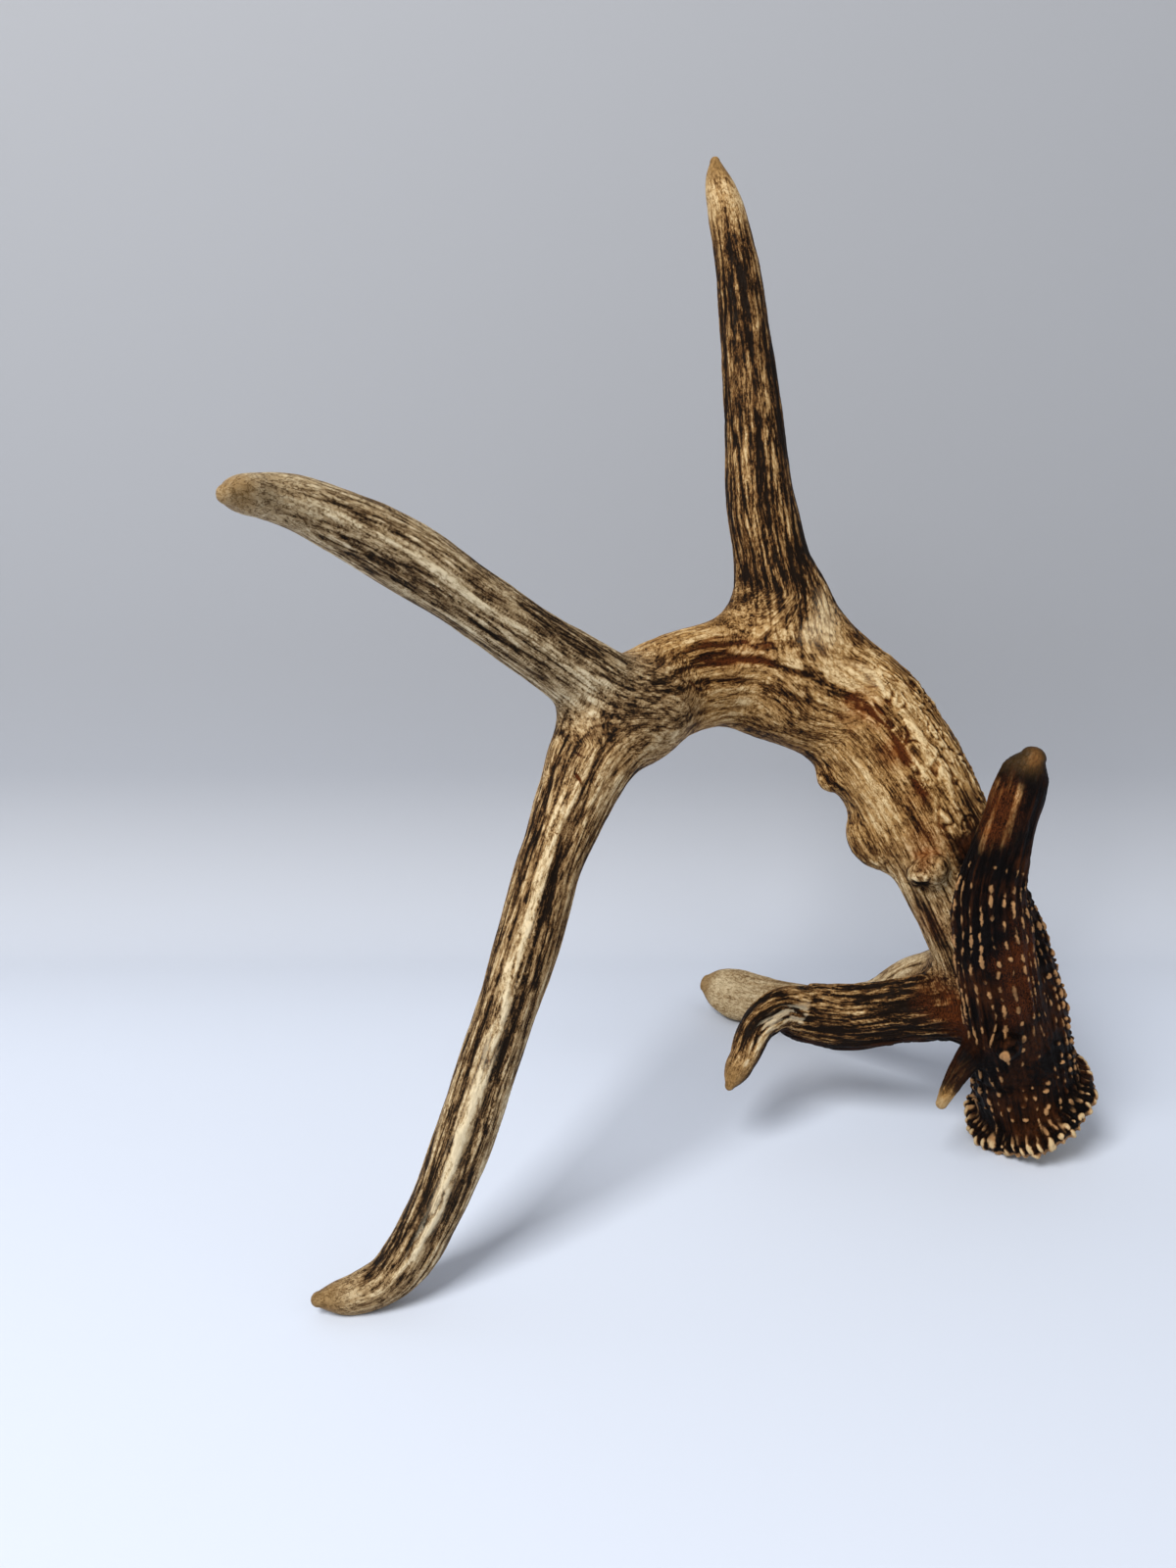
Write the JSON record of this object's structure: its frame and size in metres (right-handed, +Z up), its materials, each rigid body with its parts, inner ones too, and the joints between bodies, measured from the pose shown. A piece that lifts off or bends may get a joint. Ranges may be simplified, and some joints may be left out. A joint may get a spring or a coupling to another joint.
{
  "type": "deer antler",
  "caption": "Shed deer antler with an arched main beam, upright and sideways tines, brow tines and a pearled burr, standing on its feet.",
  "frame": {"origin": "bottom centre of the bounding box, on the surface the antler stands on", "axes": "+Z up with the antler standing on its three feet; the burr at +X, the beam's tip at -X and -Y, nearest the viewer"},
  "size_m": [0.3424, 0.2674, 0.4243],
  "materials": {
    "burr_and_base": "antler bone, near-black brown with pale worn pearls in rows; satin",
    "brow_blade": "antler bone, dark brown, ridged, worn smooth and paler at the tip; satin",
    "front_brow_tine": "antler bone, dark brown grooves between pale ridges, bare pale edge and tip; satin",
    "back_brow_tine": "antler bone, pale tan with fine brown grain; satin",
    "beam_arc": "antler bone, ivory and tan with brown grain, rust stains and worm-like wrinkles; satin",
    "tall_tine": "antler bone, tan with dark brown long grain, rubbed pale at the tip; satin",
    "fork_tine": "antler bone, pale ivory tan with brown grain, rubbed tip; satin",
    "beam_tip": "antler bone, pale ivory tan with a bare crest, brown grain and scratches; satin"
  },
  "bodies": {
    "root": {"burr_and_base": "burr_and_base", "brow_blade": "brow_blade", "front_brow_tine": "front_brow_tine", "back_brow_tine": "back_brow_tine", "beam_arc": "beam_arc", "tall_tine": "tall_tine", "fork_tine": "fork_tine", "beam_tip": "beam_tip"}
  },
  "joints": []
}
